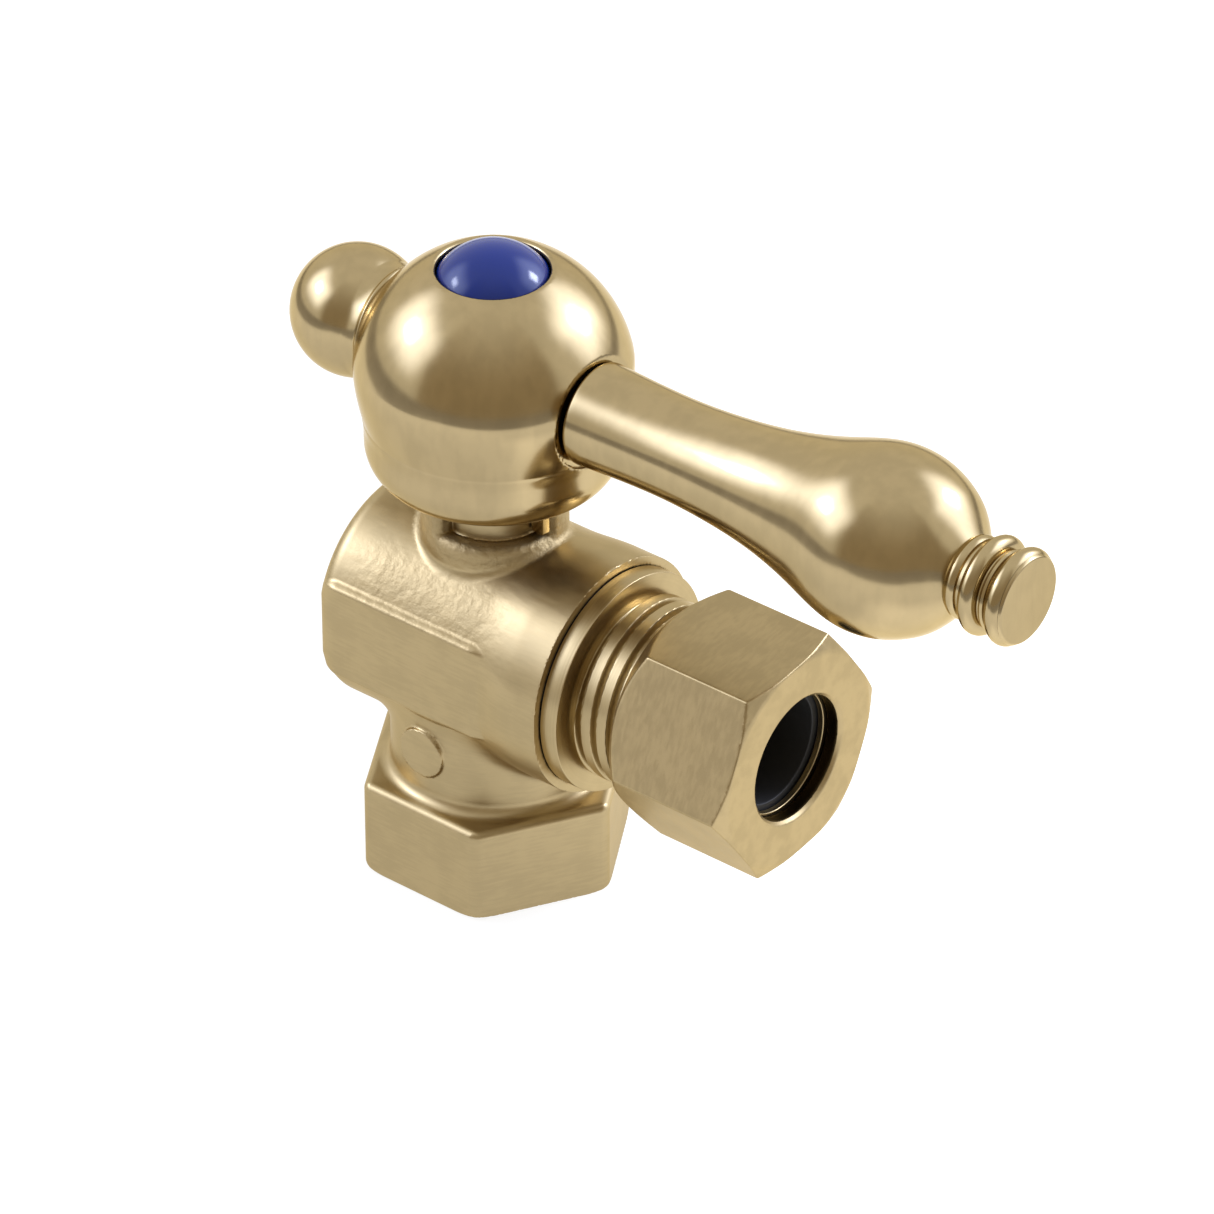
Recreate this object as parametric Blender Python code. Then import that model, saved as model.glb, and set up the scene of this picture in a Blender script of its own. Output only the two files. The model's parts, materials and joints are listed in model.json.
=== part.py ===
"""Quarter-turn angle stop valve: hexagonal inlet below, union nut outlet to +X, ball hub and lever on top.

The origin is the middle of the inlet's end face, +Z runs up the inlet and stem axis, and +X out of the outlet.
The lever points along +X with the valve open, and along -Y with it shut.
"""

import math

import bmesh
import bpy
from mathutils import Vector

mm = 0.001
GAP = 0.3 * mm  # kept between pieces that touch

# Forged body
HEX_FLATS = 28.2 * mm
HEX_HEIGHT = 12.0 * mm
NECK_R = 12.3 * mm
NECK_FOOT_R = 13.7 * mm
BARREL_Z = 30.5 * mm
BARREL_BACK_X = -15.4 * mm
BARREL_FRONT_X = 17.0 * mm
BARREL_R = 13.9 * mm
BARREL_MOUTH_R = 14.3 * mm
MOUTH_BACK_X = 8.6 * mm
SIDE_FLAT_Y = 13.3 * mm
SIDE_FLAT_HALF = 6.2 * mm
BOSS_R = 8.4 * mm
STEM_NECK_R = 6.05 * mm
STOP_FLOOR_Z = 45.6 * mm
BOSS_TOP_Z = 50.9 * mm
PAD_R = 3.1 * mm
PAD_X, PAD_Y, PAD_Z = -0.9 * mm, -12.75 * mm, 18.6 * mm

# Bores of the body
SOCKET_R = 10.3 * mm
SOCKET_END_R = 9.8 * mm
SOCKET_DEPTH = 13.5 * mm
PORT_R = 5.6 * mm
CHAMBER_R = 10.2 * mm
CHAMBER_BACK_X = -10.2 * mm
THREAD_BORE_R = 11.2 * mm
THREAD_BORE_X = 10.0 * mm
GASKET_SEAT_R = 13.1 * mm
GASKET_SEAT_X = 15.7 * mm
STEM_POCKET_R = 5.6 * mm
STEM_POCKET_TOP = 42.6 * mm
STEM_BORE_R = 3.75 * mm

# Handle stop: the tab sweeps a quarter turn between the two ends of the boss's cutaway
TURN = math.radians(90)
TAB_ANGLE = math.radians(-5.5)
TAB_HALF = math.radians(5)
TAB_SLACK = math.radians(1)

# Outlet adapter
FLANGE_X = BARREL_FRONT_X + GAP
FLANGE_FRONT_X = 19.5 * mm
FLANGE_R = 13.25 * mm
THREAD_ROOT_R = 10.2 * mm
THREAD_CREST_R = 11.1 * mm
THREAD_PITCH = 2.2 * mm
THREAD_START_X = 20.5 * mm
THREAD_TURNS = 5
ADAPTER_END_X = 34.0 * mm
ADAPTER_BORE_R = 5.6 * mm

# Outlet nut and its washers
NUT_BACK_X = 26.3 * mm
NUT_FRONT_X = 43.6 * mm
NUT_FLATS = 25.5 * mm
NUT_TWIST = math.radians(5.6)
NUT_BORE_R = 11.45 * mm
NUT_HOLE_R = 7.6 * mm
NUT_LIP = 1.9 * mm
RING_BORE_R = 6.95 * mm
RING_THICK = 0.7 * mm
WASHER_BORE_R = 6.6 * mm

# Ball, seats and stem
BALL_R = 9.4 * mm
BALL_PORT_R = 5.0 * mm
SEAT_R = 9.9 * mm
SLOT_WIDTH = 3.4 * mm
SLOT_FLOOR_Z = 37.0 * mm
STEM_FLANGE_R = 5.2 * mm
STEM_FLANGE_Z = 40.2 * mm
STEM_FLANGE_THICK = 1.2 * mm
STEM_R = 3.45 * mm
STEM_DRIVE = 5.0 * mm
STEM_TOP_Z = 61.5 * mm
O_RING_Z = (44.6 * mm, 48.3 * mm)
O_RING_SECTION = 0.55 * mm
O_RING_R = 2.95 * mm
GROOVE_R = 2.2 * mm
GROOVE_HALF = 0.8 * mm

# Handle
HUB_Z = 63.4 * mm
HUB_R = 16.0 * mm
HUB_WAIST_Z = 63.2 * mm
COLLAR_TOP_Z = 57.8 * mm
COLLAR_TOP_R = 14.7 * mm
COLLAR_BOTTOM_Z = 51.3 * mm
COLLAR_MID_R = 10.7 * mm
COLLAR_MID_Z = 55.8 * mm
COLLAR_BULGE = 4.0 * mm
HANDLE_Z = 64.6 * mm
BUTTON_EDGE_Z = 77.2 * mm
BUTTON_R = 6.35 * mm
BUTTON_TOP_Z = 80.6 * mm
POCKET_R = 5.5 * mm
POCKET_FLOOR_Z = 69.2 * mm
BUTTON_SEAT_Z = 75.6 * mm
SCREW_R = 1.6 * mm
SCREW_FOOT_Z = 54.0 * mm
SCREW_HOLE_R = 2.0 * mm
SCREW_HEAD_R = 3.3 * mm
LOCK_WASHER_THICK = 0.6 * mm
LEVER_ROOT_X = 14.45 * mm
LEVER_END_X = 73.8 * mm
LEVER_ROOT_R = 6.05 * mm
BULB_X = 54.8 * mm
BULB_R = 10.8 * mm
BULB_LENGTH = 11.8 * mm
KNOB_X = 19.9 * mm
KNOB_R = 7.75 * mm
KNOB_ROOT_X = 13.8 * mm
KNOB_COLLAR_R = 7.35 * mm
STUD_R = 2.4 * mm
STUD_ROOT_X = 7.7 * mm
LEVER_STUD_END_X = 21.7 * mm
KNOB_STUD_END_X = 21.2 * mm

SHARP = math.radians(35)
FINE, MEDIUM, COARSE, TINY = 36, 28, 20, 14  # sides of the round pieces, by size
BRASS = (0.52, 0.38, 0.17)


def clear_scene():
    for thing in list(bpy.data.objects):
        bpy.data.objects.remove(thing, do_unlink=True)


def material(name, colour, roughness, metallic):
    made = bpy.data.materials.new(name)
    made.use_nodes = True
    shader = made.node_tree.nodes["Principled BSDF"]
    shader.inputs["Base Color"].default_value = (*colour, 1.0)
    shader.inputs["Roughness"].default_value = roughness
    shader.inputs["Metallic"].default_value = metallic
    return made


def new_object(name, bm, parent=None, place=(0, 0, 0)):
    bmesh.ops.remove_doubles(bm, verts=bm.verts, dist=1e-7)
    bmesh.ops.recalc_face_normals(bm, faces=bm.faces)
    mesh = bpy.data.meshes.new(name)
    bm.to_mesh(mesh)
    bm.free()
    mesh.shade_smooth()
    mesh.set_sharp_from_angle(angle=SHARP)
    made = bpy.data.objects.new(name, mesh)
    bpy.context.scene.collection.objects.link(made)
    made.parent = parent
    made.location = place
    return made


def axis_empty(name, place, direction="Z", parent=None):
    """An empty whose local +Z is a turned piece's axis."""
    made = bpy.data.objects.new(name, None)
    bpy.context.scene.collection.objects.link(made)
    made.parent = parent
    made.location = place
    turn = {"Z": 0, "X": math.pi / 2, "-X": -math.pi / 2}[direction]
    made.rotation_euler = (0, turn, 0)
    return made


def arc(centre_r, centre_z, radius, start, end, count, stretch=1.0):
    """Points (r, z) on an arc from start to end degrees, 0 pointing outwards and 90 along the axis."""
    angles = [math.radians(start + (end - start) * i / count) for i in range(count + 1)]
    return [(centre_r + radius * math.cos(a), centre_z + radius * stretch * math.sin(a)) for a in angles]


def between(a, b, c, d, t):
    """The point a share t of the way from b to c on the Catmull-Rom curve through a, b, c and d."""
    squared = 2 * a - 5 * b + 4 * c - d
    cubed = 3 * b - a - 3 * c + d
    return tuple(0.5 * (2 * b + (c - a) * t + squared * t**2 + cubed * t**3))


def smooth_curve(points, steps):
    """Points on a Catmull-Rom curve through the given ones."""
    padded = [points[0], *points, points[-1]]
    made = []
    for i in range(1, len(padded) - 2):
        a, b, c, d = (Vector(p) for p in padded[i - 1 : i + 3])
        made += [between(a, b, c, d, step / steps) for step in range(steps)]
    return [*made, points[-1]]


def turned(name, profile, parent=None, segments=MEDIUM, closed=False, place=(0, 0, 0)):
    """A piece turned about local Z from points (r, z); a closed profile makes a ring."""
    bm = bmesh.new()
    points = [bm.verts.new((r, 0, z)) for r, z in profile]
    pairs = list(zip(points, points[1:]))
    if closed:
        pairs.append((points[-1], points[0]))
    edges = [bm.edges.new(pair) for pair in pairs]
    bmesh.ops.spin(
        bm,
        geom=points + edges,
        cent=(0, 0, 0),
        axis=(0, 0, 1),
        angle=math.tau,
        steps=segments,
        use_merge=True,
    )
    return new_object(name, bm, parent, place)


def prism(name, outline, low, high, parent=None, place=(0, 0, 0)):
    """An outline of (x, y) extruded along local Z."""
    bm = bmesh.new()
    face = bm.faces.new([bm.verts.new((x, y, low)) for x, y in outline])
    lifted = bmesh.ops.extrude_face_region(bm, geom=[face])
    tops = [item for item in lifted["geom"] if isinstance(item, bmesh.types.BMVert)]
    bmesh.ops.translate(bm, verts=tops, vec=(0, 0, high - low))
    return new_object(name, bm, parent, place)


def box(name, low, high, parent=None):
    outline = [(low[0], low[1]), (high[0], low[1]), (high[0], high[1]), (low[0], high[1])]
    return prism(name, outline, low[2], high[2], parent)


def hexagon(flats, twist=0.0):
    corner = flats / math.sqrt(3)
    angles = [twist + math.tau * i / 6 for i in range(6)]
    return [(corner * math.cos(a), corner * math.sin(a)) for a in angles]


def sector(inner, outer, start, end, steps):
    """The outline of a ring's sector between two angles."""
    angles = [start + (end - start) * i / steps for i in range(steps + 1)]
    out = [(outer * math.cos(a), outer * math.sin(a)) for a in angles]
    back = [(inner * math.cos(a), inner * math.sin(a)) for a in reversed(angles)]
    return out + back


def combine(target, tool, operation):
    """A live Boolean; the tool stays in the scene as a hidden wire guide."""
    tool.hide_render = True
    tool.display_type = "WIRE"
    boolean = target.modifiers.new(tool.name, "BOOLEAN")
    boolean.object = tool
    boolean.operation = operation
    boolean.solver = "EXACT"


def cut(target, *tools):
    for tool in tools:
        combine(target, tool, "DIFFERENCE")


def join(target, *tools):
    for tool in tools:
        combine(target, tool, "UNION")


def bevel(target, width, segments=2, angle=40):
    made = target.modifiers.new("Bevel", "BEVEL")
    made.width = width
    made.segments = segments
    made.limit_method = "ANGLE"
    made.angle_limit = math.radians(angle)


def barrel_outline():
    """Round above and below, with a flat on each side that stands proud at its two edges."""
    lean = math.degrees(math.asin(SIDE_FLAT_HALF / BARREL_R))
    top = arc(0, 0, BARREL_R, lean, 180 - lean, 14)
    bottom = [(-y, -z) for y, z in top]
    left = [(-SIDE_FLAT_Y, SIDE_FLAT_HALF), (-SIDE_FLAT_Y, -SIDE_FLAT_HALF)]
    right = [(-y, -z) for y, z in left]
    return [(-z, y) for y, z in top + left + bottom + right]


def valve_body(brass, outlet_axis):
    foot = NECK_FOOT_R - NECK_R
    flare = arc(NECK_R + foot, HEX_HEIGHT + 0.3 * mm + foot * 1.8, foot, -90, -180, 3, stretch=1.8)
    inside_barrel = BARREL_Z - 4 * mm
    profile = [(0, 7 * mm), (NECK_FOOT_R, 7 * mm), *flare, (NECK_R, inside_barrel), (0, inside_barrel)]
    body = turned("valve_body", profile, segments=FINE)
    body.data.materials.append(brass)

    hex_form = prism("inlet_hex_form", hexagon(HEX_FLATS), 0, HEX_HEIGHT)
    bevel(hex_form, 0.8 * mm)
    rear = prism("barrel_form", barrel_outline(), BARREL_BACK_X, MOUTH_BACK_X + 1 * mm, outlet_axis)
    bevel(rear, 0.7 * mm, segments=1, angle=60)
    mouth_profile = [
        (0, MOUTH_BACK_X),
        (BARREL_R - 1 * mm, MOUTH_BACK_X),
        (BARREL_MOUTH_R, MOUTH_BACK_X + 2.5 * mm),
        (BARREL_MOUTH_R, BARREL_FRONT_X - 0.3 * mm),
        (BARREL_MOUTH_R - 0.3 * mm, BARREL_FRONT_X),
        (0, BARREL_FRONT_X),
    ]
    mouth = turned("barrel_mouth_form", mouth_profile, outlet_axis, segments=FINE)
    boss_profile = [
        (0, BARREL_Z + 5 * mm),
        (BOSS_R + 1.2 * mm, BARREL_Z + 5 * mm),
        (BOSS_R + 1.2 * mm, 41.6 * mm),
        (BOSS_R, 44.2 * mm),
        (BOSS_R, BOSS_TOP_Z),
        (0, BOSS_TOP_Z),
    ]
    boss = turned("boss_form", boss_profile, segments=MEDIUM)
    pad_axis = axis_empty("pad_axis", (PAD_X, 0, PAD_Z))
    pad_axis.rotation_euler = (math.pi / 2, 0, 0)
    pad_profile = [(0, 8 * mm), (PAD_R, 8 * mm), (PAD_R, -PAD_Y), (0, -PAD_Y)]
    pad = turned("pad_form", pad_profile, pad_axis, segments=COARSE)
    join(body, hex_form, rear, mouth, boss, pad)

    socket_profile = [
        (0, -1 * mm),
        (SOCKET_R, -1 * mm),
        (SOCKET_R, 0.4 * mm),
        (SOCKET_END_R, SOCKET_DEPTH),
        (PORT_R, SOCKET_DEPTH + 2 * mm),
        (PORT_R, BARREL_Z - 5 * mm),
        (0, BARREL_Z - 5 * mm),
    ]
    socket = turned("inlet_bore", socket_profile, segments=MEDIUM)
    chamber_profile = [
        (0, CHAMBER_BACK_X),
        (CHAMBER_R, CHAMBER_BACK_X),
        (CHAMBER_R, THREAD_BORE_X),
        (THREAD_BORE_R, THREAD_BORE_X),
        (THREAD_BORE_R, GASKET_SEAT_X),
        (GASKET_SEAT_R, GASKET_SEAT_X),
        (GASKET_SEAT_R, BARREL_FRONT_X + 1 * mm),
        (0, BARREL_FRONT_X + 1 * mm),
    ]
    chamber = turned("chamber_bore", chamber_profile, outlet_axis, segments=FINE)
    stem_profile = [
        (0, BARREL_Z + 4 * mm),
        (STEM_POCKET_R, BARREL_Z + 4 * mm),
        (STEM_POCKET_R, STEM_POCKET_TOP),
        (STEM_BORE_R, STEM_POCKET_TOP),
        (STEM_BORE_R, BOSS_TOP_Z + 1 * mm),
        (0, BOSS_TOP_Z + 1 * mm),
    ]
    stem_bore = turned("stem_bore", stem_profile, segments=MEDIUM)
    open_end = TAB_ANGLE + TAB_HALF + TAB_SLACK
    shut_end = TAB_ANGLE - TURN - TAB_HALF - TAB_SLACK
    cutaway_outline = sector(STEM_NECK_R, BOSS_R + 3 * mm, shut_end, open_end, 9)
    cutaway = prism("stop_cutaway", cutaway_outline, STOP_FLOOR_Z, BOSS_TOP_Z + 1 * mm)
    cut(body, socket, chamber, stem_bore, cutaway)
    return body


def helical_ridge(name, parent):
    """One thread of trapezoid section, fading out at both ends."""
    per_turn = COARSE
    steps = THREAD_TURNS * per_turn
    fade = per_turn // 2
    depth = THREAD_CREST_R - THREAD_ROOT_R
    foot_r = THREAD_ROOT_R - 0.4 * mm
    half_foot = 0.98 * mm
    half_crest = 0.3 * mm
    bm = bmesh.new()
    sections = []
    for i in range(steps + 1):
        angle = math.tau * i / per_turn
        height = min(1.0, i / fade, (steps - i) / fade)
        crest_r = THREAD_ROOT_R + depth * height - 0.1 * mm * (1 - height)
        x = THREAD_START_X + THREAD_PITCH * i / per_turn
        corners = [(foot_r, -half_foot), (crest_r, -half_crest), (crest_r, half_crest), (foot_r, half_foot)]
        places = [(r * math.cos(angle), r * math.sin(angle), x + shift) for r, shift in corners]
        sections.append([bm.verts.new(place) for place in places])
    for near, far in zip(sections, sections[1:]):
        for k in range(4):
            bm.faces.new((near[k], near[(k + 1) % 4], far[(k + 1) % 4], far[k]))
    bm.faces.new(sections[0])
    bm.faces.new(reversed(sections[-1]))
    return new_object(name, bm, parent)


def outlet_adapter(brass, outlet_axis):
    chamfer = 0.25 * mm
    profile = [
        (ADAPTER_BORE_R, CHAMBER_R),
        (THREAD_BORE_R - GAP, CHAMBER_R),
        (THREAD_BORE_R - GAP, FLANGE_X),
        (FLANGE_R - chamfer, FLANGE_X),
        (FLANGE_R, FLANGE_X + chamfer),
        (FLANGE_R, FLANGE_FRONT_X - chamfer),
        (FLANGE_R - chamfer, FLANGE_FRONT_X),
        (THREAD_ROOT_R, FLANGE_FRONT_X),
        (THREAD_ROOT_R, ADAPTER_END_X - 1 * mm),
        (THREAD_ROOT_R - 0.7 * mm, ADAPTER_END_X),
        (8.4 * mm, ADAPTER_END_X),
        (ADAPTER_BORE_R, ADAPTER_END_X - 2.4 * mm),
    ]
    adapter = turned("outlet_adapter", profile, outlet_axis, closed=True, segments=FINE)
    adapter.data.materials.append(brass)
    join(adapter, helical_ridge("outlet_thread_form", outlet_axis))
    return adapter


def ring(name, inner, outer, span, finish, parent=None, segments=MEDIUM):
    low, high = span
    profile = [(inner, low), (outer, low), (outer, high), (inner, high)]
    made = turned(name, profile, parent, segments, closed=True)
    made.data.materials.append(finish)
    return made


def outlet_nut(brass, outlet_axis):
    corner = NUT_FLATS / math.sqrt(3)
    outline = hexagon(NUT_FLATS, math.pi / 2 + NUT_TWIST)
    nut = prism("outlet_nut", outline, NUT_BACK_X, NUT_FRONT_X, outlet_axis)
    nut.data.materials.append(brass)
    back_r = NUT_FLATS / 2 - 0.5 * mm
    front_r = NUT_FLATS / 2 + 0.1 * mm
    over = corner + 0.5 * mm
    chamfer_profile = [
        (0, NUT_BACK_X - 0.1 * mm),
        (back_r - 0.1 * mm, NUT_BACK_X - 0.1 * mm),
        (over, NUT_BACK_X + over - back_r),
        (over, NUT_FRONT_X - (over - front_r) * 0.45),
        (front_r, NUT_FRONT_X),
        (front_r - 0.5 * mm, NUT_FRONT_X + 0.1 * mm),
        (0, NUT_FRONT_X + 0.1 * mm),
    ]
    form = turned("nut_chamfer_form", chamfer_profile, outlet_axis, segments=FINE)
    combine(nut, form, "INTERSECT")
    bore_profile = [
        (0, NUT_BACK_X - 1 * mm),
        (NUT_BORE_R, NUT_BACK_X - 1 * mm),
        (NUT_BORE_R, NUT_FRONT_X - NUT_LIP),
        (NUT_HOLE_R, NUT_FRONT_X - NUT_LIP),
        (NUT_HOLE_R, NUT_FRONT_X - 0.4 * mm),
        (NUT_HOLE_R + 0.9 * mm, NUT_FRONT_X + 0.5 * mm),
        (0, NUT_FRONT_X + 0.5 * mm),
    ]
    cut(nut, turned("nut_bore", bore_profile, outlet_axis, segments=FINE))
    return nut


def outlet_washer(rubber, outlet_axis):
    """A tapered washer whose nose sits in the adapter's coned mouth."""
    back = NUT_FRONT_X - NUT_LIP - GAP - RING_THICK - GAP
    profile = [
        (WASHER_BORE_R, ADAPTER_END_X - 0.4 * mm),
        (7.1 * mm, ADAPTER_END_X - 0.4 * mm),
        (NUT_BORE_R - GAP, ADAPTER_END_X + 2.9 * mm),
        (NUT_BORE_R - GAP, back),
        (WASHER_BORE_R, back),
    ]
    washer = turned("outlet_washer", profile, outlet_axis, closed=True)
    washer.data.materials.append(rubber)
    return washer


def valve_ball(steel, handle_axis):
    """An L-port: one opening always faces the inlet, the other faces the outlet only when open."""
    centre = (0, 0, BARREL_Z)
    ball = turned("valve_ball", arc(0, 0, BALL_R, -90, 90, 12), handle_axis, segments=MEDIUM, place=centre)
    ball.data.materials.append(steel)
    outside = BALL_R + 1 * mm
    down_profile = [(0, -outside), (BALL_PORT_R, -outside), (BALL_PORT_R, 0), (0, BALL_PORT_R * 0.8)]
    down = turned("inlet_port", down_profile, handle_axis, segments=COARSE, place=centre)
    side_axis = axis_empty("outlet_port_axis", centre, "X", handle_axis)
    side_r = BALL_PORT_R - 0.1 * mm
    side_profile = [(0, 0), (side_r, 0), (side_r, outside), (0, outside)]
    side = turned("outlet_port", side_profile, side_axis, segments=COARSE)
    half = SLOT_WIDTH / 2
    slot = box("ball_slot", (-BALL_R, -half, SLOT_FLOOR_Z), (BALL_R, half, BARREL_Z + outside), handle_axis)
    cut(ball, down, side, slot)
    return ball


def seat(name, ptfe, outlet_axis, side):
    """A ring with a hollowed face that hugs the ball, in front of it or behind it."""
    hug = BALL_R + GAP
    lean_in = math.degrees(math.acos(ADAPTER_BORE_R / hug))
    lean_out = math.degrees(math.acos(8.2 * mm / hug))
    face = arc(0, 0, hug, lean_in, lean_out, 2)
    profile = [*face, (SEAT_R, face[-1][1]), (SEAT_R, SEAT_R), (ADAPTER_BORE_R, SEAT_R)]
    made = turned(name, [(r, side * x) for r, x in profile], outlet_axis, closed=True)
    made.data.materials.append(ptfe)
    return made


def stem(brass, handle_axis):
    groove_steps = []
    for z in O_RING_Z:
        low, high = z - GROOVE_HALF, z + GROOVE_HALF
        groove_steps += [(STEM_R, low), (GROOVE_R, low), (GROOVE_R, high), (STEM_R, high)]
    profile = [
        (0, STEM_FLANGE_Z),
        (STEM_FLANGE_R, STEM_FLANGE_Z),
        (STEM_FLANGE_R, STEM_FLANGE_Z + STEM_FLANGE_THICK),
        (STEM_R, STEM_FLANGE_Z + STEM_FLANGE_THICK),
        *groove_steps,
        (STEM_R, BOSS_TOP_Z),
        (0, BOSS_TOP_Z),
    ]
    made = turned("stem", profile, handle_axis, segments=COARSE)
    made.data.materials.append(brass)
    half = STEM_DRIVE / 2
    drive_low = (-half, -half, BOSS_TOP_Z - 1 * mm)
    drive = box("stem_drive_form", drive_low, (half, half, STEM_TOP_Z), handle_axis)
    bevel(drive, 0.5 * mm, segments=1)
    tang_half = SLOT_WIDTH / 2 - GAP
    tang_low = (-3.8 * mm, -tang_half, SLOT_FLOOR_Z + GAP)
    tang = box("stem_tang_form", tang_low, (3.8 * mm, tang_half, STEM_FLANGE_Z + 0.6 * mm), handle_axis)
    join(made, drive, tang)
    hole_r = SCREW_R + GAP
    above = STEM_TOP_Z + 1 * mm
    hole = [(0, SCREW_FOOT_Z - 1.5 * mm), (hole_r, SCREW_FOOT_Z - 0.5 * mm), (hole_r, above), (0, above)]
    cut(made, turned("stem_screw_hole", hole, handle_axis, segments=TINY))
    return made


def o_ring(name, rubber, handle_axis, z):
    section = arc(O_RING_R, z, O_RING_SECTION, 0, 360, 6)[:-1]
    made = turned(name, section, handle_axis, closed=True, segments=COARSE)
    made.data.materials.append(rubber)
    return made


def handle_hub(brass, handle_axis, lever_axis, knob_axis):
    """A ball that tapers in below its waist to a rounded collar."""
    waist_angle = math.degrees(math.asin((HUB_WAIST_Z - HUB_Z) / HUB_R))
    drop = COLLAR_MID_Z - COLLAR_BOTTOM_Z
    profile = [
        *arc(0, HUB_Z, HUB_R, 90, waist_angle, 11),
        (COLLAR_TOP_R, COLLAR_TOP_Z),
        *arc(COLLAR_MID_R, COLLAR_MID_Z, COLLAR_BULGE, 0, -90, 5, stretch=drop / COLLAR_BULGE),
        (0, COLLAR_BOTTOM_Z),
    ]
    hub = turned("handle_hub", profile, handle_axis, segments=FINE)
    hub.data.materials.append(brass)
    tab_outline = sector(STEM_NECK_R + GAP, BOSS_R - GAP, TAB_ANGLE - TAB_HALF, TAB_ANGLE + TAB_HALF, 2)
    tab = prism("stop_tab_form", tab_outline, STOP_FLOOR_Z + 2 * GAP, COLLAR_BOTTOM_Z + 1 * mm, handle_axis)
    join(hub, tab)
    top_profile = [
        (0, POCKET_FLOOR_Z),
        (POCKET_R, POCKET_FLOOR_Z),
        (POCKET_R, BUTTON_SEAT_Z),
        (BUTTON_R + GAP, BUTTON_SEAT_Z),
        (BUTTON_R + GAP, HUB_Z + HUB_R + 1 * mm),
        (0, HUB_Z + HUB_R + 1 * mm),
    ]
    top_pocket = turned("hub_top_pocket", top_profile, handle_axis, segments=FINE)
    half = STEM_DRIVE / 2 + GAP
    drive_low = (-half, -half, COLLAR_BOTTOM_Z - 1 * mm)
    drive_top = STEM_TOP_Z + GAP
    drive = box("hub_drive_hole", drive_low, (half, half, drive_top), handle_axis)
    hole_profile = [
        (0, drive_top - 1 * mm),
        (SCREW_HOLE_R, drive_top - 1 * mm),
        (SCREW_HOLE_R, POCKET_FLOOR_Z + 1 * mm),
        (0, POCKET_FLOOR_Z + 1 * mm),
    ]
    screw_hole = turned("hub_screw_hole", hole_profile, handle_axis, segments=TINY)
    lever_spot = spot_face("lever_spot_face", lever_axis, LEVER_ROOT_R + 0.55 * mm, LEVER_ROOT_X - GAP)
    knob_spot = spot_face("knob_spot_face", knob_axis, KNOB_COLLAR_R + 0.45 * mm, KNOB_ROOT_X - GAP)
    cut(hub, top_pocket, drive, screw_hole, lever_spot, knob_spot)
    return hub


def spot_face(name, axis, radius, depth):
    """A flat seat sunk in the hub's side, with the stud's blind hole in its middle."""
    outside = HUB_R + 3 * mm
    hole_r = STUD_R + GAP
    floor = STUD_ROOT_X - GAP
    hole = [(0, floor), (hole_r, floor), (hole_r, depth)]
    profile = [*hole, (radius, depth), (radius, outside), (0, outside)]
    return turned(name, profile, axis, segments=MEDIUM)


def bead(middle, half, radius, depth, count=4):
    """A rounded ring on a turned rod, as points (r, x)."""
    angles = [math.pi * i / count for i in range(count + 1)]
    return [(radius - depth + depth * math.sin(a), middle - half * math.cos(a)) for a in angles]


def lever(brass, lever_axis):
    shank = smooth_curve(
        [
            (LEVER_ROOT_R, 15.1 * mm),
            (5.86 * mm, 20 * mm),
            (5.74 * mm, 26 * mm),
            (6.02 * mm, 32 * mm),
            (6.76 * mm, 38 * mm),
            (7.75 * mm, 43 * mm),
            (8.95 * mm, 47 * mm),
            (10.0 * mm, 50.3 * mm),
            (BULB_R, BULB_X),
        ],
        2,
    )
    bulb_end = arc(0, BULB_X, BULB_R, 11, 65, 5, stretch=BULB_LENGTH / BULB_R)
    tip = LEVER_END_X
    profile = [
        (0, LEVER_ROOT_X),
        (LEVER_ROOT_R - 0.35 * mm, LEVER_ROOT_X),
        *shank,
        *bulb_end,
        *bead(tip - 7.3 * mm, 0.7 * mm, 4.85 * mm, 0.45 * mm, 2),
        *bead(tip - 4.8 * mm, 1.15 * mm, 5.75 * mm, 1.3 * mm),
        *bead(tip - 3.1 * mm, 0.4 * mm, 4.75 * mm, 0.35 * mm, 2),
        *bead(tip - 1.3 * mm, 1.15 * mm, 5.65 * mm, 1.2 * mm)[:-1],
        (5.0 * mm, tip),
        (0, tip),
    ]
    made = turned("lever", profile, lever_axis, segments=MEDIUM)
    made.data.materials.append(brass)
    cut(made, stud_socket("lever_stud_hole", lever_axis, LEVER_ROOT_X - 1 * mm, LEVER_STUD_END_X + GAP))
    return made


def stud_socket(name, axis, near, far):
    radius = STUD_R + GAP
    drill_point = 1.2 * mm
    profile = [(0, near), (radius, near), (radius, far), (0, far + drill_point)]
    return turned(name, profile, axis, segments=TINY)


def ball_knob(brass, knob_axis):
    """The sphere runs into a thin lip that sits in the hub's spot face."""
    start = -math.degrees(math.acos(6.95 * mm / KNOB_R))
    profile = [
        (0, KNOB_ROOT_X),
        (KNOB_COLLAR_R - 0.3 * mm, KNOB_ROOT_X),
        (KNOB_COLLAR_R, KNOB_ROOT_X + 0.35 * mm),
        (KNOB_COLLAR_R - 0.3 * mm, KNOB_ROOT_X + 0.9 * mm),
        *arc(0, KNOB_X, KNOB_R, start, 90, 9),
    ]
    made = turned("ball_knob", profile, knob_axis, segments=MEDIUM)
    made.data.materials.append(brass)
    cut(made, stud_socket("knob_stud_hole", knob_axis, KNOB_ROOT_X - 1 * mm, KNOB_STUD_END_X + GAP))
    return made


def stud(name, steel, axis, far):
    chamfer = 0.4 * mm
    near = STUD_ROOT_X
    profile = [
        (0, near),
        (STUD_R - chamfer, near),
        (STUD_R, near + chamfer),
        (STUD_R, far - chamfer),
        (STUD_R - chamfer, far),
        (0, far),
    ]
    made = turned(name, profile, axis, segments=TINY)
    made.data.materials.append(steel)
    return made


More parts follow.
